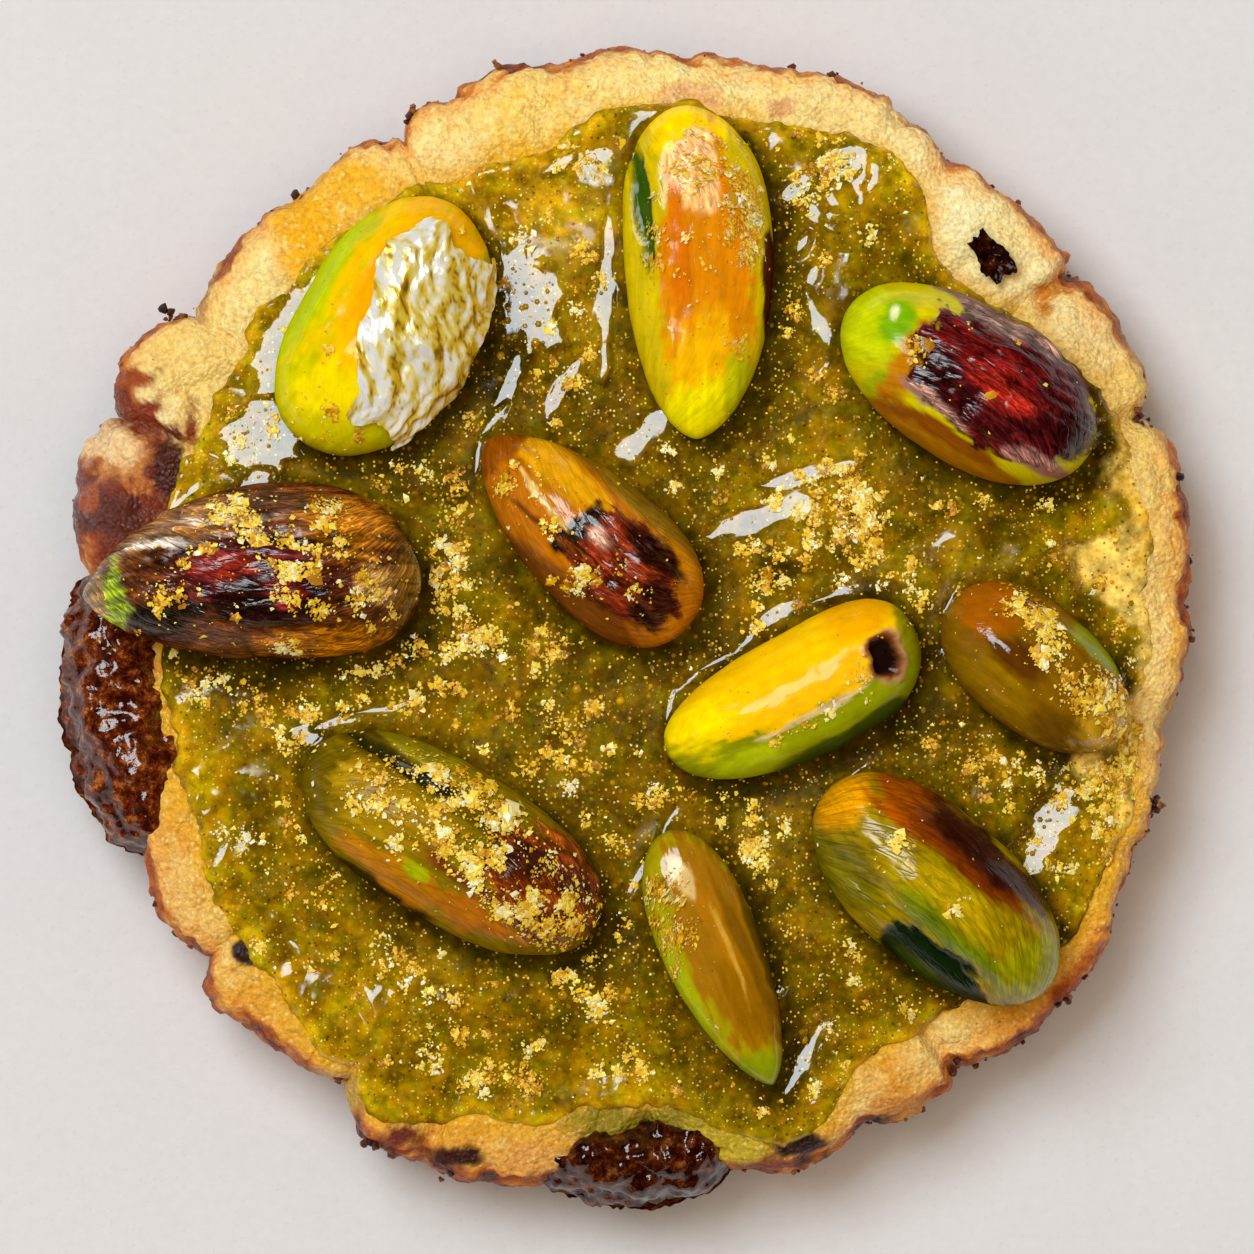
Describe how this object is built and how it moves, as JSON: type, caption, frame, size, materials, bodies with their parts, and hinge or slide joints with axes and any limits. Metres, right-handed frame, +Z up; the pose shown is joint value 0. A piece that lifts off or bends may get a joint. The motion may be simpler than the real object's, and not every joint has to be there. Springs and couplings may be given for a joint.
{
  "type": "pistachio cookie",
  "caption": "Round crumbly cookie with a lobed browned rim, a glossy pistachio paste on top, whole pistachio kernels, a crumpled gold leaf, gold flakes and melted chocolate in its rim.",
  "frame": {"origin": "middle of the cookie's flat underside", "axes": "+Z up through the toppings; +X to the right and +Y towards the far side as the cookie is seen from above"},
  "size_m": [0.0693, 0.0708, 0.0197],
  "materials": {
    "dough": "crumbly, sugary and matt, browned at its edges",
    "paste": "wet and glossy",
    "kernel_lime": "satin, oiled",
    "kernel_orange": "satin, oiled",
    "kernel_skin": "wrinkled skin with a gloss",
    "kernel_amber": "satin, oiled",
    "kernel_green": "satin, oiled",
    "gold": "bright crumpled leaf",
    "chocolate": "melted and glossy"
  },
  "bodies": {
    "root": {"cookie_dough": "dough", "pistachio_paste": "paste", "kernel_leaf": "kernel_lime", "kernel_split": "kernel_orange", "kernel_red": "kernel_skin", "kernel_west": "kernel_skin", "kernel_amber": "kernel_amber", "kernel_bean": "kernel_orange", "kernel_east": "kernel_amber", "kernel_gilded": "kernel_green", "kernel_slim": "kernel_amber", "kernel_green": "kernel_green", "gold_leaf": "gold", "chocolate_west": "chocolate", "chocolate_south": "chocolate", "chocolate_shard": "chocolate"}
  },
  "joints": []
}
